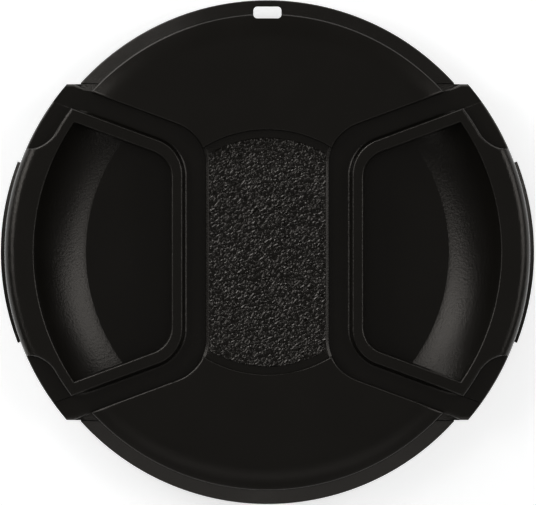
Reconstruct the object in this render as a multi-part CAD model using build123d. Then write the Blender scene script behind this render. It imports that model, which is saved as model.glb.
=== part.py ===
from build123d import *
import math
import os

# Centre-pinch clip-on cap for a lens with a 58 mm filter thread, lying on its back.
# Z = 0 is the outside of the back cover, the face looks along +Z, the clips slide along X,
# and the tether slot is on the +Y side. All sizes are in millimetres.

# Filter thread that the jaws grip
thread_diameter = 58.0
thread_pitch = 0.75

# Heights of the front cover, each on top of the one before
seat_height = 3.6
rim_edge_rise = 1.0
rim_slope_rise = 0.9
face_edge_rise = 0.7
shoulder_rise = 0.8
face_thickness = 1.4

# Round outline of the front cover, from the rim inward
rim_overhang = 0.25
rim_slope_width = 1.65
shoulder_width = 3.6
rim_ring_width = 2.6
round_flats = 3

# Textured panel in the middle of the face
panel_width = 14.26
panel_lip_radius = 14.2
panel_groove_width = 0.9
panel_depth = 0.55
panel_groove_depth = 0.15

# Tether slot
slot_length = 3.25
slot_width = 1.4
slot_corner = 0.45
slot_inset = 1.45

# Travel of the clips and the clearances that they slide with
travel = 2.45
guide_clearance = 0.1
slide_clearance = 0.15
well_clearance = 0.3
jaw_clearance = 0.3
rib_clearance = 1.35

# Wing outlines of well, frame and cut-out: sides spread outward at this angle, measured at one X
wing_angle = 20.3
wing_measure_x = 16.0
well_side_y = 12.65
well_corner = 3.1
frame_side_wall = 1.65
frame_corner = 4.4
bar_side_width = 2.57
cutout_corner = 5.0

# Flange, bar and raised frame of a clip
flange_thickness = 1.0
guide_margin = 2.63
bar_lap = 0.3
frame_spare = 0.12
frame_wall = 1.48
frame_stand = 0.1
frame_draft = 3.0

# Outer wall, grip and pads of a clip
clip_wall_bulge = 0.72
clip_wall_shift = 0.57
grip_width = 24.1
grip_round = 1.3
grip_corner = 1.8
pad_rise = 0.25
pad_bevel = 0.35
collar_wall = 1.4

# Finger well and its scooped outer wall
well_rim = 3.41
well_shift = 0.42
well_wall = 1.1
scoop_inset = 5.11
scoop_shift = -0.38
scoop_reach = 5.95
scoop_drop = 0.2
scoop_start_angle = 20.0
tub_slope_angle = 30.0

# Jaw with thread teeth under each clip, which fits the thread when the clip is partly pressed
grip_travel = 2.0
jaw_width = 21.1
jaw_wall = 1.2
jaw_bottom = 0.6
tooth_margin = 0.15
tooth_height = 0.5
tooth_count = 3

# Back cover
back_thickness = 1.0
back_wall = 1.2
back_wall_drop = 0.35
back_edge_bevel = 0.4

# Guide walls and rails of the front cover, and the lugs that stop the clips and hold the back cover
guide_wall = 1.2
guide_wall_lap = 0.2
rail_width = 1.0
rail_length = 32.0
lug_length = 1.8
lug_width = 1.6
lug_x = 10.0
lug_margin = 0.2
lug_sink = 0.15
lug_clearance = 0.05

# Springs and what they seat on
rib_width = 1.6
rib_length = 8.0
spring_clearance = 0.275
spring_wire = 0.36
spring_turns = 5
spring_chords = 10
spring_seat_gap = 0.08
spigot_clearance = 0.15
spigot_length = 1.2

# Worked-out heights
rim_edge_top = seat_height + rim_edge_rise
rim_slope_top = rim_edge_top + rim_slope_rise
face_edge_height = rim_slope_top + face_edge_rise
face_height = face_edge_height + shoulder_rise
face_bottom = face_height - face_thickness
flange_bottom = seat_height + slide_clearance
flange_top = flange_bottom + flange_thickness
bar_top = face_bottom - slide_clearance
pad_top = bar_top + pad_rise
frame_height = face_height + frame_stand
tub_floor = back_thickness + well_clearance
well_floor = tub_floor + well_wall
scoop_top = frame_height - scoop_drop
above = 2 * frame_height

# Worked-out radii
tooth_tip = thread_diameter / 2
tooth_root = tooth_tip - tooth_height
jaw_inner = tooth_root - jaw_wall
back_radius = jaw_inner + grip_travel - travel - jaw_clearance
rim_radius = tooth_tip + rim_overhang
face_edge_radius = rim_radius - rim_slope_width
shoulder_radius = face_edge_radius - shoulder_width
rim_inner_radius = face_edge_radius - rim_ring_width
slot_radius = rim_radius - slot_inset
clip_wall_radius = rim_radius + clip_wall_bulge
well_radius = clip_wall_radius - well_rim
scoop_radius = well_radius - scoop_inset
outside_reach = 2 * rim_radius

# Worked-out places along X and across Y
rib_half = rib_width / 2
flange_x = rib_half + travel + rib_clearance
cutout_x = panel_width / 2
frame_x = cutout_x + travel + frame_spare
well_x = frame_x + frame_wall
frame_side_y = well_side_y + frame_side_wall
cutout_side_y = frame_side_y + bar_side_width
guide_width = 2 * (cutout_side_y + guide_margin)
guide_slot = guide_width + 2 * guide_clearance
wing_spread = math.tan(math.radians(wing_angle))
bar_side_y = cutout_side_y + bar_lap / math.cos(math.radians(wing_angle))
bar_side_at_lug = bar_side_y + wing_spread * (lug_x + lug_length / 2 + travel - wing_measure_x)
lug_y = bar_side_at_lug + lug_margin + lug_width / 2

# Worked-out springs, which lie between the back cover and the flanges
spring_height = (back_thickness + flange_bottom) / 2
spring_radius = (flange_bottom - back_thickness) / 2 - spring_clearance
spigot_width = math.sqrt(2) * (spring_radius - spring_wire - spigot_clearance)


def wing(inner_x, side_y, corner):
    """Outline with a straight inner edge and two sides that spread outward from it."""
    inner_y = side_y + wing_spread * (inner_x - wing_measure_x)
    outer_y = side_y + wing_spread * (outside_reach - wing_measure_x)
    corners = [(inner_x, -inner_y), (outside_reach, -outer_y), (outside_reach, outer_y), (inner_x, inner_y)]
    outline = make_face(Polyline(corners, close=True))
    return fillet(outline.vertices().sort_by(Axis.X)[:2], corner)


def disc(radius, shift):
    """Round outline whose centre lies a little along X."""
    return Pos(shift, 0) * Circle(radius)


def band(width):
    """Strip along X, longer than the cap and centred on Y = 0."""
    return Rectangle(2 * outside_reach, width)


def raise_up(outline, low, high, taper=0):
    """Solid on an outline between two heights, with upright or leaning sides."""
    return Pos(0, 0, low) * extrude(outline, amount=high - low, taper=taper)


def round_off(start, radius, turn):
    """Points of an edge that starts level and turns down by an angle, in a few flats."""
    points = []
    for i in range(round_flats + 1):
        angle = turn * i / round_flats
        points += [(start[0] + radius * math.sin(angle), start[1] - radius * (1 - math.cos(angle)))]
    return points


def half_turn(shape):
    """The same shape turned half a turn about the middle of the cap."""
    return Rot(0, 0, 180) * shape


def lug_spots():
    """Places of the four lugs between the front and back covers."""
    return [Pos(x, y) for x in (lug_x, -lug_x) for y in (lug_y, -lug_y)]


def make_front_cover():
    """Face, rim, guide walls, rails, spring rib and lugs, moulded in one piece."""
    shoulder_turn = 2 * math.atan(shoulder_rise / shoulder_width)
    shoulder_round = shoulder_width / math.sin(shoulder_turn)
    outline = [(0, face_bottom), (0, face_height)]
    outline += round_off((shoulder_radius, face_height), shoulder_round, shoulder_turn)
    outline += [(face_edge_radius, rim_slope_top), (rim_radius, rim_edge_top), (rim_radius, seat_height)]
    outline += [(rim_inner_radius, seat_height), (rim_inner_radius, face_bottom)]
    cover = revolve(Plane.XZ * make_face(Polyline(outline, close=True)), Axis.Z)

    guides = band(guide_slot + 2 * guide_wall) & Circle(rim_inner_radius + guide_wall_lap)
    cover += raise_up(guides, seat_height, face_bottom)
    cover -= raise_up(band(guide_slot), 0, face_bottom)
    rail = raise_up(Rectangle(rail_length, rail_width), flange_top + slide_clearance, face_bottom)
    for side in (1, -1):
        cover += Pos(0, side * (guide_slot - rail_width) / 2) * rail

    lip = Circle(panel_lip_radius)
    panel_top = face_height - panel_depth
    cover -= raise_up(lip, panel_top, above)
    groove = lip - Circle(panel_lip_radius - panel_groove_width)
    cover -= raise_up(groove, panel_top - panel_groove_depth, above)

    cutout = raise_up(wing(cutout_x, cutout_side_y, cutout_corner), 0, above)
    cover -= cutout
    cover -= half_turn(cutout)

    slot = Pos(0, slot_radius) * RectangleRounded(slot_length, slot_width, slot_corner)
    cover -= raise_up(slot, 0, above)

    cover += raise_up(Rectangle(rib_width, rib_length), back_thickness, face_bottom)
    cover += Pos(0, 0, spring_height) * Box(rib_width + 2 * spigot_length, spigot_width, spigot_width)

    lug = raise_up(Rectangle(lug_length, lug_width), lug_sink, face_bottom)
    for spot in lug_spots():
        cover += spot * lug
    return cover


def make_back_cover():
    """Shallow dish that closes the back, with a hole for each lug of the front cover."""
    cover = raise_up(Circle(back_radius), 0, seat_height)
    cover -= raise_up(Circle(back_radius - back_wall), back_thickness, above)
    cover -= raise_up(band(guide_slot), seat_height - back_wall_drop, above)
    cover = chamfer(cover.faces().sort_by(Axis.Z)[0].edges(), back_edge_bevel)
    hole = Rectangle(lug_length + 2 * lug_clearance, lug_width + 2 * lug_clearance)
    for spot in lug_spots():
        cover -= spot * raise_up(hole, 0, back_thickness)
    return cover


def make_scoop_space():
    """Space above the well's floor and its scooped outer wall."""
    start = math.radians(scoop_start_angle)
    foot = (scoop_radius, well_floor)
    crest = (scoop_radius + scoop_reach, scoop_top)
    scoop = TangentArc(foot, crest, tangent=(math.cos(start), math.sin(start)))
    rest = Polyline(crest, (crest[0], above), (0, above), (0, well_floor), foot)
    return Pos(scoop_shift, 0) * revolve(Plane.XZ * make_face([scoop, rest]), Axis.Z)


def make_tub(well):
    """Solid under and round the finger well, with a sloping wall under the scoop."""
    mouth_radius = scoop_radius + (flange_top - tub_floor) / math.tan(math.radians(tub_slope_angle))
    outline = [(0, tub_floor), (scoop_radius, tub_floor), (mouth_radius, flange_top), (0, flange_top)]
    funnel = Pos(scoop_shift, 0) * revolve(Plane.XZ * make_face(Polyline(outline, close=True)), Axis.Z)
    return raise_up(offset(well, frame_wall), tub_floor, flange_top) & funnel


def make_grip_body():
    """Round body of the clips' outer wall, with its top edge rounded off."""
    outline = [(0, frame_height)]
    outline += round_off((clip_wall_radius - grip_round, frame_height), grip_round, math.pi / 2)
    outline += [(clip_wall_radius, flange_top), (0, flange_top)]
    return Pos(clip_wall_shift, 0) * revolve(Plane.XZ * make_face(Polyline(outline, close=True)), Axis.Z)


def make_jaw():
    """Curved jaw under the outer wall, with teeth that follow the filter thread."""
    first_tooth = jaw_bottom + tooth_margin
    outline = [(jaw_inner, jaw_bottom), (tooth_root, jaw_bottom)]
    for i in range(tooth_count):
        low = first_tooth + i * thread_pitch
        outline += [(tooth_root, low), (tooth_tip, low + thread_pitch / 2)]
    outline += [(tooth_root, first_tooth + tooth_count * thread_pitch)]
    outline += [(tooth_root, flange_top), (jaw_inner, flange_top)]
    half_angle = math.degrees(math.asin(jaw_width / 2 / tooth_tip))
    section = Plane.XZ * make_face(Polyline(outline, close=True))
    jaw = revolve(section, Axis.Z, 2 * half_angle)
    return Pos(grip_travel, 0) * Rot(0, 0, -half_angle) * jaw


def make_clip():
    """Right-hand clip: sliding flange, raised frame, finger well, grip and jaw in one moulding."""
    outside = disc(clip_wall_radius, clip_wall_shift)
    cutout = wing(cutout_x, cutout_side_y, cutout_corner)
    frame_wing = wing(frame_x, frame_side_y, frame_corner)
    well = wing(well_x, well_side_y, well_corner) & disc(well_radius, well_shift)

    flange = Pos(flange_x + outside_reach / 2, 0) * Rectangle(outside_reach, guide_width)
    clip = raise_up(flange & outside, flange_bottom, flange_top)
    slot = Rectangle(lug_length + travel + 2 * guide_clearance, lug_width + 2 * guide_clearance)
    for side in (1, -1):
        clip -= Pos(lug_x + travel / 2, side * lug_y) * raise_up(slot, flange_bottom, flange_top)

    bar = offset(cutout, bar_lap) & band(guide_width) & outside
    clip += raise_up(bar, flange_bottom, bar_top)

    pads = raise_up(frame_wing & outside, flange_bottom, pad_top)
    outer_edge = pads.faces().sort_by(Axis.Z)[-1].edges().sort_by(Axis.X)[-1]
    clip += chamfer(outer_edge, pad_bevel)

    raised = disc(well_radius + collar_wall, well_shift) + band(grip_width)
    inner_corners = [v for v in raised.vertices() if 0 < v.X < clip_wall_radius]
    raised = fillet(inner_corners, grip_corner) & outside
    frame = raise_up(frame_wing, flange_top, frame_height, taper=frame_draft)
    clip += frame & raise_up(raised, flange_top, frame_height) & make_grip_body()

    clip += make_tub(well)
    clip += make_jaw()
    clip -= raise_up(well, well_floor, above) & make_scoop_space()

    spigot_root = spigot_length + frame_wall / 2
    spigot_middle = frame_x - spigot_length + spigot_root / 2
    return clip + Pos(spigot_middle, 0, spring_height) * Box(spigot_root, spigot_width, spigot_width)


def make_spring():
    """Coil of square wire, bent in short chords, between the rib and the right-hand clip."""
    length = frame_x - rib_half - spring_wire - 2 * spring_seat_gap
    coil_radius = spring_radius - spring_wire / 2
    chords = spring_turns * spring_chords
    points = []
    for i in range(chords + 1):
        turn = 2 * math.pi * i / spring_chords
        points += [(length * i / chords, coil_radius * math.cos(turn), coil_radius * math.sin(turn))]
    path = Polyline(points)
    wire = Plane(path @ 0, z_dir=path % 0) * Rectangle(spring_wire, spring_wire)
    coil = sweep(wire, path=path, transition=Transition.RIGHT)
    return Pos(rib_half + spring_wire / 2 + spring_seat_gap, 0, spring_height) * coil


front_cover = make_front_cover()
back_cover = make_back_cover()
right_clip = make_clip()
left_clip = half_turn(right_clip)
right_spring = make_spring()
left_spring = half_turn(right_spring)

os.makedirs("parts", exist_ok=True)
export_step(front_cover, "parts/front_cover.step")
export_step(back_cover, "parts/back_cover.step")
export_step(left_clip, "parts/left_clip.step")
export_step(right_clip, "parts/right_clip.step")
export_step(left_spring, "parts/left_spring.step")
export_step(right_spring, "parts/right_spring.step")
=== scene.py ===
import math

import bpy
import numpy as np
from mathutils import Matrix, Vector
from mathutils.geometry import delaunay_2d_cdt


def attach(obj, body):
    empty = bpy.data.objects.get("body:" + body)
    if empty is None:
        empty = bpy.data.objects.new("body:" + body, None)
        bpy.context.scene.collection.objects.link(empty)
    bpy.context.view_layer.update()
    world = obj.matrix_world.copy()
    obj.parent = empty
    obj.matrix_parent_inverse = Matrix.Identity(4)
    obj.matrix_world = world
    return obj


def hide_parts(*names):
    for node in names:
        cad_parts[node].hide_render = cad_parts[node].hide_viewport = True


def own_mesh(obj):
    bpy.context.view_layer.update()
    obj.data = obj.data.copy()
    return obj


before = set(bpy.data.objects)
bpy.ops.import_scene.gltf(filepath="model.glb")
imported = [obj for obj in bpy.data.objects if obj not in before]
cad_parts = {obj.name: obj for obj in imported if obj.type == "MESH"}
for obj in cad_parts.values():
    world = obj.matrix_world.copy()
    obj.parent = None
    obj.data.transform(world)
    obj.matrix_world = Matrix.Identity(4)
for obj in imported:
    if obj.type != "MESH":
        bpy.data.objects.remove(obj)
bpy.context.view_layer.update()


# Front cover: the face of the cap, injection-moulded in black plastic with a fine eroded finish.
# Its plateau is cut out on both sides for the clips, its middle holds a sunk grip panel,
# and its sloping rim rests on the lens. The sizes of all pieces are in millimetres.
MILLIMETRE = 0.001
# How finely lines are split, and which edges stay sharp
SHARP_TURN = math.radians(32)
MERGE_DISTANCE = 1e-5
WHOLE_HULL = 0
LINE_STEP = 0.5
FEWEST_ARC_PARTS = 8
ROUND_PARTS = 6
PAST_ROUND = 0.05
WALL_LINE_GAP = 0.02
# Rim, face and shoulder
RIM_RADIUS = 29.25
RIM_BOTTOM = 3.6
RIM_EDGE_TOP = 4.6
RIM_EDGE_ROUND = 0.12
RIM_SLOPE_TOP = 5.5
RIM_INNER_RADIUS = 25.0
FACE_HEIGHT = 7.0
FACE_BOTTOM = 5.6
FACE_EDGE_RADIUS = 27.6
FACE_EDGE_HEIGHT = 6.2
FACE_EDGE_ROUND = 0.14
SHOULDER_RADIUS = 24.0
SHOULDER_LINES = 9
WALL_DRAFT = 0.06
# Guides and cut-outs for the clips
GUIDE_SLOT_HALF = 19.6
GUIDE_WALL = 1.2
WING_SLOPE = math.radians(20.3)
WING_MEASURE_X = 16.0
WING_BEND_POINTS = 25
CUTOUT_X = 7.13
CUTOUT_SIDE_Y = 16.87
CUTOUT_CORNER = 5.0
CUTOUT_ROUND = 0.3
# Sunk panel
LIP_RADIUS = 14.2
LIP_ROUND = 0.16
PANEL_BEVEL_WIDTH = 0.35
PANEL_BEVEL_DROP = 0.19
PANEL_EDGE_ROUND = 0.05
GROOVE_RADIUS = 13.3
GROOVE_HEIGHT = 6.3
# Tether slot
SLOT_Y = 27.8
SLOT_LENGTH = 3.25
SLOT_WIDTH = 1.4
SLOT_CORNER = 0.45
SLOT_CORNER_POINTS = 9
# Rails, lugs, rib, spigots and shelves on the inside
INSIDE_LAP = 0.2
RAIL_LENGTH = 32.0
RAIL_WIDTH = 1.0
RAIL_BOTTOM = 4.9
LUG_X = 10.0
LUG_Y = 17.21
LUG_LENGTH = 1.8
LUG_WIDTH = 1.6
LUG_BOTTOM = 0.15
RIB_WIDTH = 1.6
RIB_LENGTH = 8.0
RIB_BOTTOM = 1.0
SPRING_HEIGHT = 2.375
SPIGOT_WIDTH = 0.83
SPIGOT_LENGTH = 1.2
SHELF_X = 19.8
SHELF_LENGTH = 3.74
SHELF_LAP = 0.3
SHELF_SINK = 0.02
SHELF_THICKNESS = 0.1
# Plastic, with its cloudy gloss and eroded finish
PLASTIC_DARK = (0.0048, 0.0043, 0.0034, 1)
PLASTIC_LIGHT = (0.0070, 0.0063, 0.0051, 1)
PLASTIC_TINT = (1.0, 0.94, 0.88, 1)
PLASTIC_IOR = 1.4
PLASTIC_ROUGHNESS = 0.25
CLOUD_SIZE = 6.25
CLOUD_DETAIL = 4.0
CLOUD_GLOSS = 0.08
EROSION_DETAIL = 3.0
EROSION_FADE = 0.6
EROSION_GLOSS = 0.06
NOISE_MIDDLE = 0.5
COVER_EROSION_SIZE = 0.25
COVER_EROSION_DEPTH = 0.012


def arc(radius, start, end, shift=0.0):
    """Points of an arc between two angles, about a centre a little along X."""
    count = max(FEWEST_ARC_PARTS, round(radius * abs(end - start) / LINE_STEP))
    angles = np.linspace(start, end, count + 1)
    return np.column_stack([shift + radius * np.cos(angles), radius * np.sin(angles)])


def straight(start, end):
    """Points along a straight line, about a millimetre apart."""
    count = max(1, round(math.dist(start, end)))
    return np.linspace(start, end, count + 1)


def wing_corner(inner_x, side_y, corner):
    """Centre of the round at a wing's upper inner corner."""
    x = inner_x + corner
    y = side_y + math.tan(WING_SLOPE) * (x - WING_MEASURE_X) - corner / math.cos(WING_SLOPE)
    return x, y


def wing_line(inner_x, side_y, corner, grow=0.0):
    """A wing's outline, grown by a distance, from its lower side by its inner edge to its upper side."""
    x, y = wing_corner(inner_x, side_y, corner)
    radius = corner + grow
    turn = np.linspace(math.pi, math.pi / 2 + WING_SLOPE, WING_BEND_POINTS)
    bend = np.column_stack([x + radius * np.cos(turn), y + radius * np.sin(turn)])
    reach = RIM_RADIUS / math.cos(WING_SLOPE)
    side = bend[-1] + reach * np.array([math.cos(WING_SLOPE), math.sin(WING_SLOPE)])
    upper = np.vstack([bend, straight(bend[-1], side)[1:]])
    lower = upper[::-1] * [1, -1]
    return np.vstack([lower, straight(lower[-1], upper[0])[1:-1], upper])


def wing_distance(x, y, inner_x, side_y, corner):
    """How far a point lies outside a wing's outline, or inside it if negative."""
    y = np.abs(y)
    side = (y - side_y - math.tan(WING_SLOPE) * (x - WING_MEASURE_X)) * math.cos(WING_SLOPE)
    middle_x, middle_y = wing_corner(inner_x, side_y, corner)
    over_x = x - middle_x
    over_y = y - middle_y
    by_corner = (over_y > 0) & (over_x * math.cos(WING_SLOPE) + over_y * math.sin(WING_SLOPE) < 0)
    return np.where(by_corner, np.hypot(over_x, over_y) - corner, np.maximum(inner_x - x, side))


def drop(depth, radius):
    """How far a rounded edge lies below its level, by the depth in from the edge."""
    left = np.clip(radius - depth, 0, radius)
    return radius - np.sqrt(radius ** 2 - left ** 2)


def round_steps(radius, count=ROUND_PARTS):
    """Depths in from a rounded edge at which it has turned by even steps, and one just past it."""
    turns = np.linspace(0, math.pi / 2, count + 1)
    return [*(radius * (1 - np.cos(turns))), radius + PAST_ROUND]


def rounded_box(middle_y, length, width, corner):
    """Closed outline of a slot with rounded corners."""
    points = []
    for quarter in range(4):
        turn = math.pi / 2 * (quarter + np.linspace(0, 1, SLOT_CORNER_POINTS))
        side_x = (length / 2 - corner) * (1 if quarter in (0, 3) else -1)
        side_y = (width / 2 - corner) * (1 if quarter in (0, 1) else -1)
        points.extend(zip(side_x + corner * np.cos(turn), middle_y + side_y + corner * np.sin(turn)))
    return np.array([*points, points[0]])


def rectangle(middle_x, middle_y, length, width):
    """Closed outline of a rectangle."""
    signs = np.array([(1, 1), (-1, 1), (-1, -1), (1, -1), (1, 1)])
    return np.array([middle_x, middle_y]) + signs * [length / 2, width / 2]


def level_lines(reach, y):
    """Straight lines along X on both sides of the cap, as far from its middle as each other."""
    return [straight((-reach, side * y), (reach, side * y)) for side in (1, -1)]


def relief(lines, inside, top, bottom):
    """Closed shell whose top and bottom are heights over a plan, with edges along the given lines."""
    points = []
    edges = []
    for line in lines:
        edges.extend((len(points) + i, len(points) + i + 1) for i in range(len(line) - 1))
        points.extend(Vector(p) for p in line)
    plan, _, triangles, _, _, _ = delaunay_2d_cdt(points, edges, [], WHOLE_HULL, MERGE_DISTANCE)
    plan = np.array(plan)
    triangles = np.array(triangles)
    middles = plan[triangles].mean(axis=1)
    used, triangles = np.unique(triangles[inside(*middles.T)], return_inverse=True)
    triangles = triangles.reshape(-1, 3)
    plan = plan[used]
    count = len(plan)
    vertices = np.vstack([np.column_stack([plan, height(*plan.T)]) for height in (top, bottom)])
    around = {(a, b) for t in triangles.tolist() for a, b in zip(t, t[1:] + t[:1])}
    walls = [(b, a, a + count, b + count) for a, b in around if (b, a) not in around]
    return vertices, [*triangles.tolist(), *(triangles[:, ::-1] + count).tolist(), *walls]


def block(low, high):
    """Closed shell of a plain block between two corners."""
    outline = [(low[0], low[1]), (high[0], low[1]), (high[0], high[1]), (low[0], high[1])]
    vertices = np.array([(x, y, z) for z in (low[2], high[2]) for x, y in outline])
    walls = [(i, (i + 1) % 4, (i + 1) % 4 + 4, i + 4) for i in range(4)]
    return vertices, [(3, 2, 1, 0), (4, 5, 6, 7), *walls]


def make_piece(name, shells, finish):
    """One object out of closed shells, smooth but for the edges that turn sharply."""
    vertices = []
    faces = []
    for shell_vertices, shell_faces in shells:
        faces.extend([i + len(vertices) for i in face] for face in shell_faces)
        vertices.extend((MILLIMETRE * np.array(shell_vertices)).tolist())
    mesh = bpy.data.meshes.new(name)
    mesh.from_pydata(vertices, [], faces)
    mesh.polygons.foreach_set("use_smooth", [True] * len(faces))
    mesh.set_sharp_from_angle(angle=SHARP_TURN)
    mesh.materials.append(finish)
    piece = bpy.data.objects.new(name, mesh)
    bpy.context.scene.collection.objects.link(piece)
    return piece


class Wire:
    """A value in a material. Sums and products of wires and numbers add Math nodes."""

    MIX_FACTOR = 0
    MIX_FIRST_COLOUR = 6
    MIX_SECOND_COLOUR = 7
    MIX_RESULT = 2

    def __init__(self, tree, socket=None):
        self.tree = tree
        self.socket = socket

    def node(self, kind, settings, sockets, output=0):
        """Adds a node, sets it up, fills its sockets with values or wires, and gives one output."""
        made = self.tree.nodes.new(kind)
        for name, value in settings.items():
            setattr(made, name, value)
        for name, value in sockets.items():
            if isinstance(value, Wire):
                self.tree.links.new(value.socket, made.inputs[name])
            else:
                made.inputs[name].default_value = value
        return Wire(self.tree, made.outputs[output] if made.outputs else None)

    def blend(self, first, second):
        """Adds a Mix node that goes from one colour to another as this value rises."""
        sockets = {self.MIX_FACTOR: self, self.MIX_FIRST_COLOUR: first, self.MIX_SECOND_COLOUR: second}
        return self.node("ShaderNodeMix", {"data_type": "RGBA"}, sockets, self.MIX_RESULT)

    def math(self, operation, first, second):
        """Adds a Math node."""
        return self.node("ShaderNodeMath", {"operation": operation}, {0: first, 1: second})

    def __add__(self, other):
        return self.math("ADD", self, other)

    def __sub__(self, other):
        return self.math("SUBTRACT", self, other)

    def __rsub__(self, other):
        return self.math("SUBTRACT", other, self)

    def __mul__(self, other):
        return self.math("MULTIPLY", self, other)

    __radd__ = __add__
    __rmul__ = __mul__


def new_material(name):
    """An empty node material and a wire to build it with."""
    finish = bpy.data.materials.new(name)
    finish.use_nodes = True
    finish.node_tree.nodes.clear()
    return finish, Wire(finish.node_tree)


def black_plastic(name, erosion_size, erosion_depth, polish=None):
    """Warm black moulded plastic with a fine eroded finish, cloudy gloss and slightly uneven colour."""
    finish, wire = new_material(name)
    place = wire.node("ShaderNodeTexCoord", {}, {}, "Object")
    erosion_sockets = {"Vector": place, "Scale": 1 / (erosion_size * MILLIMETRE)}
    erosion_sockets.update({"Detail": EROSION_DETAIL, "Roughness": EROSION_FADE})
    erosion = wire.node("ShaderNodeTexNoise", {}, erosion_sockets)
    cloud_sockets = {"Vector": place, "Scale": 1 / (CLOUD_SIZE * MILLIMETRE), "Detail": CLOUD_DETAIL}
    clouds = wire.node("ShaderNodeTexNoise", {}, cloud_sockets)
    colour = clouds.blend(PLASTIC_DARK, PLASTIC_LIGHT)
    bump_sockets = {"Height": erosion, "Strength": 1.0, "Distance": erosion_depth * MILLIMETRE}
    bump = wire.node("ShaderNodeBump", {}, bump_sockets)
    cloudy = CLOUD_GLOSS * (clouds - NOISE_MIDDLE)
    roughness = PLASTIC_ROUGHNESS + cloudy + EROSION_GLOSS * (erosion - NOISE_MIDDLE)
    if polish:
        roughness = roughness - polish(wire, place)
    surface_sockets = {"Base Color": colour, "Roughness": roughness, "Normal": bump}
    surface_sockets.update({"IOR": PLASTIC_IOR, "Specular Tint": PLASTIC_TINT})
    surface = wire.node("ShaderNodeBsdfPrincipled", {}, surface_sockets)
    wire.node("ShaderNodeOutputMaterial", {}, {"Surface": surface})
    return finish


def cutout_distance(x, y):
    """How far a point of the front cover lies from its nearer cut-out."""
    return wing_distance(np.abs(x), y, CUTOUT_X, CUTOUT_SIDE_Y, CUTOUT_CORNER)


def slot_clear(x, y):
    """True outside the tether slot with its rounded corners."""
    over_x = np.abs(x) - SLOT_LENGTH / 2 + SLOT_CORNER
    over_y = np.abs(y - SLOT_Y) - SLOT_WIDTH / 2 + SLOT_CORNER
    return np.hypot(np.maximum(over_x, 0), np.maximum(over_y, 0)) > SLOT_CORNER


def in_front_cover(x, y):
    """True where the front cover has material, seen from above."""
    radius = np.hypot(x, y)
    in_face = radius < FACE_EDGE_RADIUS + WALL_DRAFT
    in_rim = (radius < RIM_RADIUS) & (np.abs(y) > GUIDE_SLOT_HALF)
    return (cutout_distance(x, y) > 0) & (in_face | in_rim) & slot_clear(x, y)


def front_cover_top(x, y):
    """Face, shoulder and rim by radius, the sunk panel inside its lip, and the rounded cut-out edges."""
    radius = np.hypot(x, y)
    width = FACE_EDGE_RADIUS - SHOULDER_RADIUS
    rise = FACE_HEIGHT - FACE_EDGE_HEIGHT
    bend = (width ** 2 + rise ** 2) / (2 * rise)
    past = np.clip(radius - SHOULDER_RADIUS, 0, width)
    face = FACE_HEIGHT - bend + np.sqrt(bend ** 2 - past ** 2)
    face = face - drop(FACE_EDGE_RADIUS - radius, FACE_EDGE_ROUND) - drop(radius - LIP_RADIUS, LIP_ROUND)
    rim_places = [FACE_EDGE_RADIUS, FACE_EDGE_RADIUS + WALL_DRAFT, RIM_RADIUS]
    rim_heights = [FACE_EDGE_HEIGHT - FACE_EDGE_ROUND, RIM_SLOPE_TOP, RIM_EDGE_TOP]
    rim = np.interp(radius, rim_places, rim_heights) - drop(RIM_RADIUS - radius, RIM_EDGE_ROUND)
    lip_wall = [LIP_RADIUS - WALL_DRAFT, LIP_RADIUS]
    sunk = np.interp(radius, lip_wall, [GROOVE_HEIGHT, FACE_HEIGHT - LIP_ROUND])
    edge_in = cutout_distance(x, y)
    sunk = sunk - PANEL_BEVEL_DROP * np.clip(1 - edge_in / PANEL_BEVEL_WIDTH, 0, 1)
    height = np.where(radius < LIP_RADIUS, sunk, np.where(radius < FACE_EDGE_RADIUS, face, rim))
    in_plateau = (radius > LIP_RADIUS - WALL_DRAFT) & (radius < FACE_EDGE_RADIUS + WALL_DRAFT)
    return height - drop(edge_in, np.where(in_plateau, CUTOUT_ROUND, PANEL_EDGE_ROUND))


def front_cover_bottom(x, y):
    """Underside of the face, and of the rim that stands down round it."""
    radius = np.hypot(x, y)
    rim = (radius > RIM_INNER_RADIUS) & (np.abs(y) > GUIDE_SLOT_HALF)
    return np.where(rim, RIM_BOTTOM, FACE_BOTTOM)


def front_cover_lines():
    """Plan lines along every edge of the front cover."""
    radii = [LIP_RADIUS - WALL_DRAFT]
    radii += [LIP_RADIUS + step for step in round_steps(LIP_ROUND)]
    shoulder_end = FACE_EDGE_RADIUS - FACE_EDGE_ROUND - PAST_ROUND
    radii += list(np.linspace(SHOULDER_RADIUS, shoulder_end, SHOULDER_LINES))
    radii += [FACE_EDGE_RADIUS - step for step in round_steps(FACE_EDGE_ROUND)[:-1]]
    radii += [FACE_EDGE_RADIUS + WALL_DRAFT]
    radii += [RIM_INNER_RADIUS - WALL_LINE_GAP, RIM_INNER_RADIUS + WALL_LINE_GAP]
    radii += [RIM_RADIUS - step for step in round_steps(RIM_EDGE_ROUND)]
    lines = [arc(radius, 0, 2 * math.pi) for radius in radii]
    for step in [*round_steps(CUTOUT_ROUND), PANEL_EDGE_ROUND]:
        edge = wing_line(CUTOUT_X, CUTOUT_SIDE_Y, CUTOUT_CORNER, step)
        lines += [edge, -edge]
    for y in (GUIDE_SLOT_HALF, GUIDE_SLOT_HALF + WALL_LINE_GAP):
        lines += level_lines(RIM_RADIUS, y)
    return [*lines, rounded_box(SLOT_Y, SLOT_LENGTH, SLOT_WIDTH, SLOT_CORNER)]


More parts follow.
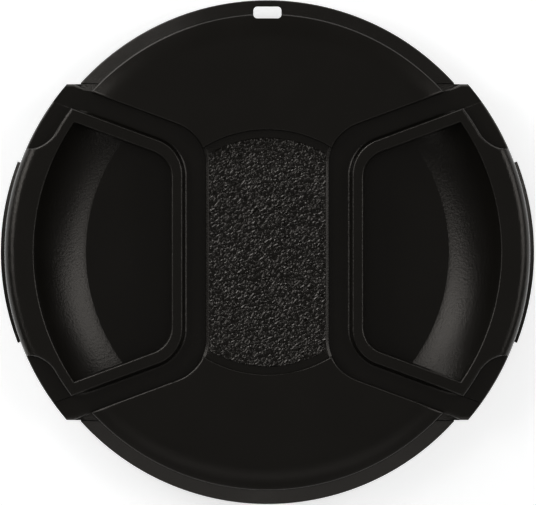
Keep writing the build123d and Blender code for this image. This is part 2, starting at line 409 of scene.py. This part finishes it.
def front_cover_inside():
    """Guide walls, rails, lugs, spring rib and the thin shelves under the clips' ends."""
    shells = []
    top = FACE_BOTTOM + INSIDE_LAP
    for side in (1, -1):
        wall_reach = math.sqrt(RIM_INNER_RADIUS ** 2 - (GUIDE_SLOT_HALF + GUIDE_WALL) ** 2)
        wall_y = side * (GUIDE_SLOT_HALF + GUIDE_WALL / 2)
        rail_y = side * (GUIDE_SLOT_HALF - RAIL_WIDTH / 2)
        guide = (wall_reach, GUIDE_WALL / 2)
        rail = (RAIL_LENGTH / 2, RAIL_WIDTH / 2)
        for (half_x, half_y), y, low in ((guide, wall_y, RIM_BOTTOM), (rail, rail_y, RAIL_BOTTOM)):
            shells.append(block((-half_x, y - half_y, low), (half_x, y + half_y, top)))
        for x in (LUG_X, -LUG_X):
            y = side * LUG_Y
            low = (x - LUG_LENGTH / 2, y - LUG_WIDTH / 2, LUG_BOTTOM)
            shells.append(block(low, (x + LUG_LENGTH / 2, y + LUG_WIDTH / 2, top)))
    rib_low = (-RIB_WIDTH / 2, -RIB_LENGTH / 2, RIB_BOTTOM)
    shells.append(block(rib_low, (RIB_WIDTH / 2, RIB_LENGTH / 2, top)))
    for x in (SHELF_X, -SHELF_X):
        for y in (GUIDE_SLOT_HALF - SHELF_LAP / 2, SHELF_LAP / 2 - GUIDE_SLOT_HALF):
            half = (SHELF_LENGTH / 2, SHELF_LAP / 2 + SHELF_SINK)
            low = (x - half[0], y - half[1], RIM_BOTTOM)
            shells.append(block(low, (x + half[0], y + half[1], RIM_BOTTOM + SHELF_THICKNESS)))
    spigot = np.array([RIB_WIDTH / 2 + SPIGOT_LENGTH, SPIGOT_WIDTH / 2, SPIGOT_WIDTH / 2])
    middle = np.array([0, 0, SPRING_HEIGHT])
    return [*shells, block(middle - spigot, middle + spigot)]


# Grain of the grip panel: short slanted pips, moulded with the face, that give the fingers hold.
# Each pip lies near a point of an even net, shifted, turned and raised by chance from a fixed seed.
# Its shift and stretch are shares of the net's pitch and of its reach, and its turn is in radians.
GRAIN_HALF_WIDTH = 6.78
GRAIN_STEP = 0.068
GRAIN_PITCH = 0.39
GRAIN_LEAN = math.radians(42)
GRAIN_BASE = 6.34
GRAIN_SINK = 0.1
GRAIN_CLEARANCE = 0.02
GRAIN_SPARE_CELLS = 8
GRAIN_NEIGHBOURS = range(-2, 3)
GRAIN_SEED = 7
PIP_LOWEST = 0.088
PIP_HIGHEST = 0.184
PIP_REACH = 0.14
PIP_STRETCH = 0.7
PIP_WIDTH = 0.165
PIP_SHIFT = 0.45
PIP_TURN = 0.5
PIP_POLISH = 0.12


def grain_height(x, y):
    """Height of the pips at each point, where the tallest pip near the point counts."""
    chance = np.random.default_rng(GRAIN_SEED)
    cells = 2 * int(LIP_RADIUS / GRAIN_PITCH) + GRAIN_SPARE_CELLS
    shift_x, shift_y, turn, rise, stretch = chance.uniform(-1, 1, (5, cells, cells))
    column = np.floor(x / GRAIN_PITCH).astype(int) + cells // 2
    row = np.floor(y / GRAIN_PITCH).astype(int) + cells // 2
    tall = PIP_LOWEST + (PIP_HIGHEST - PIP_LOWEST) * (1 + rise) / 2
    height = np.zeros_like(x)
    for step_x in GRAIN_NEIGHBOURS:
        for step_y in GRAIN_NEIGHBOURS:
            spot = (column + step_x, row + step_y)
            over_x = x - GRAIN_PITCH * (spot[0] - cells // 2 + 0.5 + PIP_SHIFT * shift_x[spot])
            over_y = y - GRAIN_PITCH * (spot[1] - cells // 2 + 0.5 + PIP_SHIFT * shift_y[spot])
            angle = GRAIN_LEAN + PIP_TURN * turn[spot]
            along = np.abs(over_x * np.cos(angle) + over_y * np.sin(angle))
            across = over_y * np.cos(angle) - over_x * np.sin(angle)
            past = np.maximum(along - PIP_REACH * (1 + PIP_STRETCH * stretch[spot]), 0)
            pip = np.clip(1 - np.hypot(past, across) / PIP_WIDTH, 0, 1)
            height = np.maximum(height, tall[spot] * pip)
    return height


def grain_shell():
    """Closed slab with the pips on its top, in the plan of the panel inside its groove."""
    columns = round(2 * GRAIN_HALF_WIDTH / GRAIN_STEP)
    rows = round(2 * GROOVE_RADIUS / GRAIN_STEP)
    across = np.linspace(-1, 1, columns + 1) * GRAIN_HALF_WIDTH
    x, share = np.meshgrid(across, np.linspace(-1, 1, rows + 1))
    y = share * np.sqrt((GROOVE_RADIUS - GRAIN_CLEARANCE) ** 2 - x ** 2)
    top = GRAIN_BASE + grain_height(x, y)
    top[[0, -1], :] = GRAIN_BASE
    top[:, [0, -1]] = GRAIN_BASE
    upper = np.column_stack([x.ravel(), y.ravel(), top.ravel()])
    number = np.arange(len(upper)).reshape(x.shape)
    corners = [number[:-1, :-1], number[:-1, 1:], number[1:, 1:], number[1:, :-1]]
    faces = np.column_stack([corner.ravel() for corner in corners]).tolist()
    rim = [*number[0, :-1], *number[:-1, -1], *number[-1, :0:-1], *number[:0:-1, 0]]
    lower = upper[rim] * [1, 1, 0] + [0, 0, GROOVE_HEIGHT - GRAIN_SINK]
    base = len(upper)
    count = len(rim)
    walls = [(rim[(i + 1) % count], rim[i], base + i, base + (i + 1) % count) for i in range(count)]
    return np.vstack([upper, lower]), [*faces, *walls, list(range(base + count - 1, base - 1, -1))]


def pip_polish(wire, place):
    """How much smoother the pips are than the rest of the cover, since fingers rub them."""
    x, y, z = [wire.node("ShaderNodeSeparateXYZ", {}, {0: place}, axis) for axis in "XYZ"]
    in_panel = wire.math("LESS_THAN", x * x + y * y, (GROOVE_RADIUS * MILLIMETRE) ** 2)
    raised = wire.math("GREATER_THAN", z, (GRAIN_BASE - GRAIN_CLEARANCE) * MILLIMETRE)
    return PIP_POLISH * in_panel * raised


cover_plastic = black_plastic("cover_plastic", COVER_EROSION_SIZE, COVER_EROSION_DEPTH, pip_polish)
cover_shell = relief(front_cover_lines(), in_front_cover, front_cover_top, front_cover_bottom)
cover_shells = [cover_shell, *front_cover_inside(), grain_shell()]
front_cover = make_piece("front_cover_moulding", cover_shells, cover_plastic)
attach(front_cover, "housing")
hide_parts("front_cover")


# Clips: two like mouldings of black plastic that slide between the front cover's walls, under its rails.
# Each has a raised frame round a finger well, a low bar round the frame, a grip on the outer wall and a
# jaw with thread teeth. The well's outer wall is scooped, so that a fingertip slides in from the middle.
# Flange and bar
FLANGE_X = 4.6
FLANGE_HALF = 19.5
FLANGE_BOTTOM = 3.75
FLANGE_TOP = 4.75
BAR_LAP = 0.3
BAR_TOP = 5.45
BAR_ROUND = 0.1
BAR_END_X = 19.0
BAR_END_ROUND = 0.6
BAR_END_FADE = 0.8
# Raised frame, corners beyond the bar, and pads
FRAME_X = 9.70
FRAME_SIDE_Y = 14.3
FRAME_CORNER = 4.4
FRAME_HEIGHT = 7.1
FRAME_DRAFT = 0.09
FRAME_ROUND = 0.25
FRAME_FLARE = 0.43
FLARE_FADE = 1.5
CORNER_FILL_RADIUS = 27.3
CORNER_FILL_RADII = [CORNER_FILL_RADIUS - WALL_DRAFT, CORNER_FILL_RADIUS, FACE_EDGE_RADIUS + WALL_DRAFT]
CORNER_FILL_START = math.radians(40)
CORNER_FILL_END = math.radians(47)
PAD_TOP = 5.7
PAD_STEP = 0.15
PAD_ROUND = 0.2
# Outer wall, grip and collar
OUTER_RADIUS = 29.97
OUTER_SHIFT = 0.57
OUTER_DRAFT = 0.08
OUTER_FOOT = 4.0
CLIP_ARC_END = math.radians(60)
GRIP_ROUND = 1.3
GRIP_ROUND_PARTS = 12
GRIP_HALF = 12.05
GRIP_CORNER = 1.8
COLLAR_RADIUS = 27.96
COLLAR_ROUND = 0.4
COLLAR_NEAR = 10.0
COLLAR_FAR = 40.0
COLLAR_HALVINGS = 40
COLLAR_BEND_RAYS = 60
# Angles of the rays that find the collar's outline, in radians
COLLAR_BEND_START = 0.38
COLLAR_BEND_END = 0.48
COLLAR_END = 0.9
COLLAR_COARSE_TURN = 0.02
COLLAR_FINE_TURN = 0.01
# Finger well, and the tub that it is sunk in
WELL_X = 11.18
WELL_SIDE_Y = 12.65
WELL_CORNER = 3.1
WELL_RADIUS = 26.56
WELL_SHIFT = 0.42
WELL_FLOOR = 2.4
WELL_DRAFT = 0.12
WELL_ROUND = 0.28
SCOOP_SHIFT = -0.38
SCOOP_RADIUS = 21.45
SCOOP_REACH = 27.6
SCOOP_BEND = 12.69
SCOOP_BEND_RADIUS = 17.11
SCOOP_BEND_HEIGHT = 14.32
SCOOP_LINES = 14
SCOOP_FOOT_STEP = 0.05
TUB_WALL = 1.48
TUB_BOTTOM = 1.3
TUB_SLOPE = math.radians(30)
# Slide on the lugs, and the jaw with its thread teeth
TRAVEL = 2.45
LUG_CLEARANCE = 0.1
JAW_SHIFT = 2.0
JAW_INNER = 27.3
JAW_ROOT = 28.5
JAW_TIP = 29.0
JAW_HALF = 10.55
JAW_BOTTOM = 0.6
JAW_TOP = 4.2
JAW_RINGS = 81
TOOTH_MARGIN = 0.15
TOOTH_PITCH = 0.75
TOOTH_COUNT = 3
TOOTH_FLAT = 0.06
# Finish, and what turns the right-hand clip into the left-hand one
CLIP_EROSION_SIZE = 0.26
CLIP_EROSION_DEPTH = 0.032
HALF_TURN = [-1, -1, 1]


def moulded_edge(depth, level, radius, draft, foot):
    """Height of a moulded edge: level, then rounded, then a drafted wall down to its foot."""
    wall = np.interp(depth, [0, draft], [foot, level - radius])
    return np.where(depth < draft, wall, level - drop(depth - draft, radius))


def grown_together(first, second, radius):
    """Distance to two outlines that are joined with a hollow round where they meet."""
    corner = np.hypot(np.maximum(radius - first, 0), np.maximum(radius - second, 0))
    return np.maximum(radius, np.minimum(first, second)) - corner


def outer_depth(x, y):
    """How far a point lies inside the clip's outer wall."""
    return OUTER_RADIUS - np.hypot(x - OUTER_SHIFT, y)


def collar_distance(x, y):
    """How far a point lies outside the collar round the well and the grip on it."""
    collar = np.hypot(x - WELL_SHIFT, y) - COLLAR_RADIUS
    return grown_together(collar, np.abs(y) - GRIP_HALF, GRIP_CORNER)


def well_distance(x, y):
    """How far a point lies outside the finger well, or inside it if negative."""
    side = wing_distance(x, y, WELL_X, WELL_SIDE_Y, WELL_CORNER)
    return np.maximum(side, np.hypot(x - WELL_SHIFT, y) - WELL_RADIUS)


def corner_fill(x, y):
    """Height of the flange's corners beyond the bar, which carry on the slope of the cover's rim."""
    heights = [FLANGE_TOP, BAR_TOP, BAR_TOP, RIM_EDGE_TOP]
    slope = np.interp(np.hypot(x, y), [*CORNER_FILL_RADII, RIM_RADIUS], heights)
    return np.maximum(slope, FLANGE_TOP)


def clip_top(x, y):
    """Flange, bar, pads, raised frame, grip and finger well of the right-hand clip, seen from above."""
    frame_out = wing_distance(x, y, FRAME_X, FRAME_SIDE_Y, FRAME_CORNER)
    collar_out = collar_distance(x, y)
    outer_in = outer_depth(x, y)
    well_out = well_distance(x, y)

    # Bar and pads
    cutout_out = wing_distance(x, y, CUTOUT_X, CUTOUT_SIDE_Y, CUTOUT_CORNER)
    bar_in = BAR_LAP - cutout_out
    bar = moulded_edge(bar_in, BAR_TOP, BAR_ROUND, WALL_DRAFT, FLANGE_TOP)
    bare = np.clip((np.hypot(x, y) - FACE_EDGE_RADIUS) / BAR_END_FADE, 0, 1)
    end_in = np.minimum(bar_in - WALL_DRAFT, FLANGE_HALF - np.abs(y))
    bar = np.maximum(bar - bare * drop(end_in, BAR_END_ROUND), corner_fill(x, y))
    step = np.clip(-frame_out / PAD_STEP, 0, 1)
    pads = bar + (PAD_TOP - BAR_TOP) * step * step * (3 - 2 * step)
    fade = np.clip((FACE_EDGE_RADIUS - np.hypot(x, y)) / FLARE_FADE, 0, 1)
    foot = pads + fade * drop(np.maximum(frame_out, collar_out), FRAME_FLARE)
    foot = np.minimum(foot, moulded_edge(outer_in, PAD_TOP, PAD_ROUND, OUTER_DRAFT, OUTER_FOOT))

    # Raised frame and grip
    frame_edge = moulded_edge(-frame_out, FRAME_HEIGHT, FRAME_ROUND, FRAME_DRAFT, FLANGE_TOP)
    collar_edge = moulded_edge(-collar_out, FRAME_HEIGHT, COLLAR_ROUND, FRAME_DRAFT, FLANGE_TOP)
    grip_edge = moulded_edge(outer_in, FRAME_HEIGHT, GRIP_ROUND, OUTER_DRAFT, OUTER_FOOT)
    raised = np.minimum(np.minimum(frame_edge, collar_edge), grip_edge)
    outside = np.maximum(foot, raised)

    # Finger well with its scooped wall
    from_middle = np.hypot(x - SCOOP_SHIFT, y)
    run = np.clip(from_middle, SCOOP_RADIUS, SCOOP_REACH) - SCOOP_BEND_RADIUS
    scoop = SCOOP_BEND_HEIGHT - np.sqrt(SCOOP_BEND ** 2 - run ** 2)
    bottom = np.where(from_middle > SCOOP_RADIUS, np.maximum(scoop, WELL_FLOOR), WELL_FLOOR)
    well_edge = moulded_edge(well_out + WELL_DRAFT, FRAME_HEIGHT, WELL_ROUND, WELL_DRAFT, WELL_FLOOR)
    return np.where(well_out < WELL_ROUND, np.minimum(outside, np.maximum(well_edge, bottom)), outside)


def clip_bottom(x, y):
    """Flat underside of the flange, and the tub that stands out of it round the well."""
    from_middle = np.hypot(x - SCOOP_SHIFT, y)
    tub = TUB_BOTTOM + math.tan(TUB_SLOPE) * np.maximum(from_middle - SCOOP_RADIUS, 0)
    side = np.interp(well_distance(x, y), [TUB_WALL - WALL_DRAFT, TUB_WALL], [TUB_BOTTOM, FLANGE_BOTTOM])
    return np.minimum(np.maximum(tub, side), FLANGE_BOTTOM)


def lug_slots():
    """Places of the long holes in the flange that the lugs of the front cover pass through."""
    length = LUG_LENGTH + TRAVEL + 2 * LUG_CLEARANCE
    width = LUG_WIDTH + 2 * LUG_CLEARANCE
    return [(LUG_X + TRAVEL / 2, side * LUG_Y, length, width) for side in (1, -1)]


def clear_of(holes, x, y):
    """True outside every one of some rectangular holes."""
    clear = np.full(len(x), True)
    for middle_x, middle_y, length, width in holes:
        clear &= (np.abs(x - middle_x) > length / 2) | (np.abs(y - middle_y) > width / 2)
    return clear


def in_clip(x, y):
    """True where the right-hand clip has material, seen from above."""
    in_flange = (x > FLANGE_X) & (np.abs(y) < FLANGE_HALF)
    return in_flange & (outer_depth(x, y) > 0) & clear_of(lug_slots(), x, y)


def collar_line(grow):
    """The collar's outline grown by a distance, found along rays that are closest where it bends."""
    before = np.arange(0, COLLAR_BEND_START, COLLAR_COARSE_TURN)
    bend = np.linspace(COLLAR_BEND_START, COLLAR_BEND_END, COLLAR_BEND_RAYS)
    after = np.arange(COLLAR_BEND_END + COLLAR_FINE_TURN, COLLAR_END, COLLAR_FINE_TURN)
    half = np.concatenate([before, bend, after])
    turn = np.concatenate([-half[:0:-1], half])
    near = np.full(len(turn), COLLAR_NEAR)
    far = np.full(len(turn), COLLAR_FAR)
    for _ in range(COLLAR_HALVINGS):
        middle = (near + far) / 2
        outside = collar_distance(WELL_SHIFT + middle * np.cos(turn), middle * np.sin(turn)) > grow
        near = np.where(outside, near, middle)
        far = np.where(outside, middle, far)
    return np.column_stack([WELL_SHIFT + far * np.cos(turn), far * np.sin(turn)])


def clip_lines():
    """Plan lines along every edge of the right-hand clip."""
    # Outer wall
    outer_depths = [0, *(OUTER_DRAFT + step for step in round_steps(GRIP_ROUND, GRIP_ROUND_PARTS))]
    outer_depths += [OUTER_DRAFT + step for step in round_steps(PAD_ROUND)[1:]]
    lines = [arc(OUTER_RADIUS - depth, -CLIP_ARC_END, CLIP_ARC_END, OUTER_SHIFT) for depth in outer_depths]

    # Bar, frame and collar
    bar_steps = [*round_steps(BAR_ROUND), *round_steps(BAR_END_ROUND)[1:]]
    bar_grows = [BAR_LAP, *(BAR_LAP - WALL_DRAFT - step for step in bar_steps)]
    lines += [wing_line(CUTOUT_X, CUTOUT_SIDE_Y, CUTOUT_CORNER, grow) for grow in bar_grows]
    for radius in CORNER_FILL_RADII:
        corner = arc(radius, CORNER_FILL_START, CORNER_FILL_END)
        lines += [corner, corner * [1, -1]]
    flare = round_steps(FRAME_FLARE)
    edges = [*flare, *(-FRAME_DRAFT - step for step in round_steps(FRAME_ROUND))]
    for grow in [*edges, -PAD_STEP / 2, -PAD_STEP]:
        lines.append(wing_line(FRAME_X, FRAME_SIDE_Y, FRAME_CORNER, grow))
    collar_edges = [*flare, *(-FRAME_DRAFT - step for step in round_steps(COLLAR_ROUND))]
    lines += [collar_line(grow) for grow in collar_edges]

    # Finger well and tub
    well_steps = [-WELL_DRAFT, *round_steps(WELL_ROUND)]
    for grow in [*well_steps, TUB_WALL - WALL_DRAFT, TUB_WALL]:
        lines.append(wing_line(WELL_X, WELL_SIDE_Y, WELL_CORNER, grow))
        lines.append(arc(WELL_RADIUS + grow, -CLIP_ARC_END, CLIP_ARC_END, WELL_SHIFT))
    for radius in np.linspace(SCOOP_RADIUS, SCOOP_REACH, SCOOP_LINES):
        lines.append(arc(radius, -CLIP_ARC_END, CLIP_ARC_END, SCOOP_SHIFT))
    for foot in (-SCOOP_FOOT_STEP, SCOOP_FOOT_STEP):
        lines.append(arc(SCOOP_RADIUS + foot, -CLIP_ARC_END, CLIP_ARC_END, SCOOP_SHIFT))

    # Flange, ends of the bar and slots for the lugs
    reach = OUTER_RADIUS + OUTER_SHIFT
    lines.append(straight((FLANGE_X, -FLANGE_HALF), (FLANGE_X, FLANGE_HALF)))
    for y in (FLANGE_HALF, -FLANGE_HALF):
        lines.append(straight((FLANGE_X, y), (reach, y)))
    for step in round_steps(BAR_END_ROUND)[1:]:
        for y in (FLANGE_HALF - step, step - FLANGE_HALF):
            lines.append(straight((BAR_END_X, y), (reach, y)))
    return [*lines, *(rectangle(*slot) for slot in lug_slots())]


def swept(rings):
    """Closed shell through a row of like outlines, with a face over each end."""
    rows, count, _ = rings.shape
    faces = []
    for row in range(rows - 1):
        near = row * count
        far = near + count
        for i in range(count):
            j = (i + 1) % count
            faces.append((near + i, far + i, far + j, near + j))
    last = (rows - 1) * count
    ends = [list(range(count)), list(range(last + count - 1, last - 1, -1))]
    return rings.reshape(-1, 3), [*faces, *ends]


def jaw_shell():
    """Curved jaw with teeth that follow the filter thread."""
    outline = [(JAW_INNER, JAW_BOTTOM), (JAW_ROOT, JAW_BOTTOM)]
    for tooth in range(TOOTH_COUNT):
        low = JAW_BOTTOM + TOOTH_MARGIN + tooth * TOOTH_PITCH
        middle = low + TOOTH_PITCH / 2
        outline += [(JAW_ROOT, low), (JAW_TIP, middle - TOOTH_FLAT), (JAW_TIP, middle + TOOTH_FLAT)]
    outline += [(JAW_ROOT, JAW_BOTTOM + TOOTH_MARGIN + TOOTH_COUNT * TOOTH_PITCH)]
    outline += [(JAW_ROOT, JAW_TOP), (JAW_INNER, JAW_TOP)]
    half = math.asin(JAW_HALF / JAW_TIP)
    rings = []
    for turn in np.linspace(-half, half, JAW_RINGS):
        rings.append([(JAW_SHIFT + r * math.cos(turn), r * math.sin(turn), z) for r, z in outline])
    return swept(np.array(rings))


clip_plastic = black_plastic("clip_plastic", CLIP_EROSION_SIZE, CLIP_EROSION_DEPTH)
clip_shell = relief(clip_lines(), in_clip, clip_top, clip_bottom)
spigot_low = (FRAME_X - SPIGOT_LENGTH, -SPIGOT_WIDTH / 2, SPRING_HEIGHT - SPIGOT_WIDTH / 2)
spigot_high = (FRAME_X + TUB_WALL / 2, SPIGOT_WIDTH / 2, SPRING_HEIGHT + SPIGOT_WIDTH / 2)
right_shells = [clip_shell, jaw_shell(), block(spigot_low, spigot_high)]
left_shells = [(vertices * HALF_TURN, faces) for vertices, faces in right_shells]
for side, shells in (("left", left_shells), ("right", right_shells)):
    clip = make_piece(side + "_clip_moulding", shells, clip_plastic)
    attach(clip, side + "_clip")
    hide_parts(side + "_clip")


# Springs: two small coils of bright steel wire that push the clips outward.
# Each sits between the rib of the front cover and its clip, on a spigot at both ends.
SPRING_WIRE = 0.36
SPRING_RADIUS = 0.92
SPRING_LENGTH = 8.38
SPRING_START = 1.06
SPRING_TURNS = 5
TURN_POINTS = 32
WIRE_SIDES = 12
STEEL_DARK = (0.42, 0.41, 0.40, 1)
STEEL_LIGHT = (0.62, 0.61, 0.59, 1)
STEEL_ROUGHNESS = 0.22
MARK_SIZE = 0.25
MARK_DETAIL = 3.0
MARK_GLOSS = 0.14


def spring_shell():
    """Round wire bent to a coil along X."""
    share = np.linspace(0, 1, SPRING_TURNS * TURN_POINTS + 1)
    turn = 2 * math.pi * SPRING_TURNS * share
    outward = np.column_stack([np.zeros_like(turn), np.cos(turn), np.sin(turn)])
    path = SPRING_RADIUS * outward
    path[:, 0] = SPRING_START + SPRING_LENGTH * share
    path[:, 2] += SPRING_HEIGHT
    along = np.gradient(path, axis=0)
    along /= np.linalg.norm(along, axis=1)[:, None]
    across = np.cross(along, outward)
    around = 2 * math.pi * np.arange(WIRE_SIDES) / WIRE_SIDES
    section = outward[:, None] * np.cos(around)[:, None] + across[:, None] * np.sin(around)[:, None]
    return swept(path[:, None] + SPRING_WIRE / 2 * section)


def spring_steel(name):
    """Bright drawn steel wire with fine marks on it."""
    finish, wire = new_material(name)
    place = wire.node("ShaderNodeTexCoord", {}, {}, "Object")
    mark_sockets = {"Vector": place, "Scale": 1 / (MARK_SIZE * MILLIMETRE), "Detail": MARK_DETAIL}
    marks = wire.node("ShaderNodeTexNoise", {}, mark_sockets)
    colour = marks.blend(STEEL_DARK, STEEL_LIGHT)
    roughness = STEEL_ROUGHNESS + MARK_GLOSS * marks
    surface_sockets = {"Base Color": colour, "Roughness": roughness, "Metallic": 1.0}
    surface = wire.node("ShaderNodeBsdfPrincipled", {}, surface_sockets)
    wire.node("ShaderNodeOutputMaterial", {}, {"Surface": surface})
    return finish


steel = spring_steel("spring_steel")
right_spring = spring_shell()
left_spring = (right_spring[0] * HALF_TURN, right_spring[1])
seat = RIB_WIDTH / 2
for side, sign, shell in (("left", -1, left_spring), ("right", 1, right_spring)):
    spring = make_piece(side + "_spring_coil", [shell], steel)
    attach(spring, "housing")
    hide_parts(side + "_spring")
    anchor = (sign * seat * MILLIMETRE, 0, SPRING_HEIGHT * MILLIMETRE)
    side + "_pinch"
    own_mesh(spring)


# Back cover: a shallow dish of the same black plastic that closes the back and holds the clips in.
# It is held by the four lugs of the front cover, whose ends show in its holes.
BACK_RADIUS = 26.55
BACK_WALL = 1.2
BACK_WALL_DROP = 0.35
BACK_THICKNESS = 1.0
BACK_EDGE_ROUND = 0.4
LUG_HOLE_CLEARANCE = 0.05


def lug_holes():
    """Places of the holes that the ends of the lugs sit in."""
    length = LUG_LENGTH + 2 * LUG_HOLE_CLEARANCE
    width = LUG_WIDTH + 2 * LUG_HOLE_CLEARANCE
    return [(x, y, length, width) for x in (LUG_X, -LUG_X) for y in (LUG_Y, -LUG_Y)]


def in_back_cover(x, y):
    """True where the back cover has material, seen from above."""
    return (np.hypot(x, y) < BACK_RADIUS) & clear_of(lug_holes(), x, y)


def back_cover_top(x, y):
    """Inside of the dish and the top of its wall, which is lower where the clips slide over it."""
    radius = np.hypot(x, y)
    wall = np.where(np.abs(y) < GUIDE_SLOT_HALF, RIM_BOTTOM - BACK_WALL_DROP, RIM_BOTTOM)
    return np.where(radius < BACK_RADIUS - BACK_WALL, BACK_THICKNESS, wall)


def back_cover_bottom(x, y):
    """Flat back with a rounded edge."""
    return drop(BACK_RADIUS - np.hypot(x, y), BACK_EDGE_ROUND)


def back_cover_lines():
    """Plan lines along every edge of the back cover."""
    depths = [*round_steps(BACK_EDGE_ROUND), BACK_WALL - WALL_LINE_GAP, BACK_WALL + WALL_LINE_GAP]
    lines = [arc(BACK_RADIUS - depth, 0, 2 * math.pi) for depth in depths]
    for y in (GUIDE_SLOT_HALF - WALL_LINE_GAP, GUIDE_SLOT_HALF + WALL_LINE_GAP):
        lines += level_lines(BACK_RADIUS, y)
    return [*lines, *(rectangle(*hole) for hole in lug_holes())]


back_shell = relief(back_cover_lines(), in_back_cover, back_cover_top, back_cover_bottom)
back_cover = make_piece("back_cover_dish", [back_shell], cover_plastic)
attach(back_cover, "housing")
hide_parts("back_cover")


# Floor: plain white paper, which the camera and reflections see as pure white but for the cap's shadow.
# It lies a hair below the cap, and it is clear from below, so that the back of the cap can be looked at.
FLOOR_SIZE = 3000.0
FLOOR_GAP = 0.05
PAPER_COLOUR = (0.85, 0.85, 0.85, 1)
PAPER_GLOW = 0.6
WHITE = (1, 1, 1, 1)


def white_floor(name):
    """Matt paper that glows where it is seen, and is clear from below."""
    finish, wire = new_material(name)
    seen = wire.node("ShaderNodeLightPath", {}, {}, "Is Camera Ray")
    for kind in ("Is Glossy Ray", "Is Transmission Ray"):
        seen = seen + wire.node("ShaderNodeLightPath", {}, {}, kind)
    paper = wire.node("ShaderNodeBsdfDiffuse", {}, {"Color": PAPER_COLOUR})
    glow = wire.node("ShaderNodeEmission", {}, {"Color": WHITE, "Strength": PAPER_GLOW})
    bright = wire.node("ShaderNodeAddShader", {}, {0: paper, 1: glow})
    upper_side = wire.node("ShaderNodeMixShader", {}, {0: seen, 1: paper, 2: bright})
    below = wire.node("ShaderNodeNewGeometry", {}, {}, "Backfacing")
    clear = wire.node("ShaderNodeBsdfTransparent", {}, {})
    surface = wire.node("ShaderNodeMixShader", {}, {0: below, 1: upper_side, 2: clear})
    wire.node("ShaderNodeOutputMaterial", {}, {"Surface": surface})
    return finish


floor_corners = [(x, y, -FLOOR_GAP) for x, y in rectangle(0, 0, FLOOR_SIZE, FLOOR_SIZE)[:4]]
floor = make_piece("floor", [(floor_corners, [(0, 1, 2, 3)])], white_floor("white_paper"))


# Light: soft boxes on both sides light the scoops, low strips all round light the rim and edges,
# and level faces reflect the dim ceiling above. Lamps are in metres, and in degrees from +X and the floor.
ROOM_GLOW = 0.13
LAMP_DISTANCE = 0.6
scene = bpy.context.scene
scene.view_settings.view_transform = "Standard"
room = bpy.data.worlds.new("room")
scene.world = room
room.use_nodes = True
room.node_tree.nodes["Background"].inputs["Color"].default_value = WHITE
room.node_tree.nodes["Background"].inputs["Strength"].default_value = ROOM_GLOW


def soft_box(name, azimuth, height, width, tall, glow, distance=LAMP_DISTANCE):
    """Area lamp that faces the cap, with the same glow whatever its size."""
    lamp = bpy.data.lights.new(name, "AREA")
    lamp.shape = "RECTANGLE"
    lamp.size = width
    lamp.size_y = tall
    lamp.energy = math.pi * width * tall * glow
    stand = bpy.data.objects.new(name, lamp)
    turn = math.radians(azimuth)
    lift = math.radians(height)
    level = math.cos(lift)
    toward = Vector((level * math.cos(turn), level * math.sin(turn), math.sin(lift)))
    stand.location = distance * toward
    stand.rotation_euler = toward.to_track_quat("Z", "Y").to_euler()
    scene.collection.objects.link(stand)


soft_box("left_box", azimuth=156, height=39, width=0.12, tall=0.16, glow=2.9, distance=0.3)
soft_box("left_fill", azimuth=177, height=49, width=0.12, tall=0.10, glow=1.3, distance=0.3)
soft_box("right_box", azimuth=18, height=39, width=0.28, tall=0.33, glow=2.3)
soft_box("right_fill", azimuth=-7, height=47, width=0.24, tall=0.20, glow=1.2)
soft_box("left_strip", azimuth=127, height=11, width=0.38, tall=0.20, glow=6.4)
soft_box("top_strip", azimuth=70, height=10, width=0.60, tall=0.14, glow=2.2)
soft_box("low_left_strip", azimuth=-115, height=29, width=0.53, tall=0.11, glow=1.05)
soft_box("low_right_strip", azimuth=-65, height=29, width=0.53, tall=0.11, glow=1.0)
soft_box("ceiling_strip", azimuth=-90, height=60, width=0.50, tall=0.12, glow=0.40)
soft_box("ceiling", azimuth=90, height=90, width=0.80, tall=0.80, glow=0.07, distance=1.5)


# Camera: straight above the cap with a long lens, so that its sides don't show.
# It is framed as wide as the photograph, at the scale of the cap's face.
PHOTO_WIDTH = 536
MILLIMETRES_PER_PIXEL = 0.11597
CAMERA_HEIGHT = 1200.0
FOCUS_HEIGHT = 5.5
FRAME_MIDDLE = (0.07, -0.04)
camera = bpy.data.cameras.new("camera")
seen_width = PHOTO_WIDTH * MILLIMETRES_PER_PIXEL
camera.lens = camera.sensor_width * (CAMERA_HEIGHT - FOCUS_HEIGHT) / seen_width
viewer = bpy.data.objects.new("camera", camera)
viewer.location = MILLIMETRE * Vector((*FRAME_MIDDLE, CAMERA_HEIGHT))
scene.collection.objects.link(viewer)
scene.camera = viewer
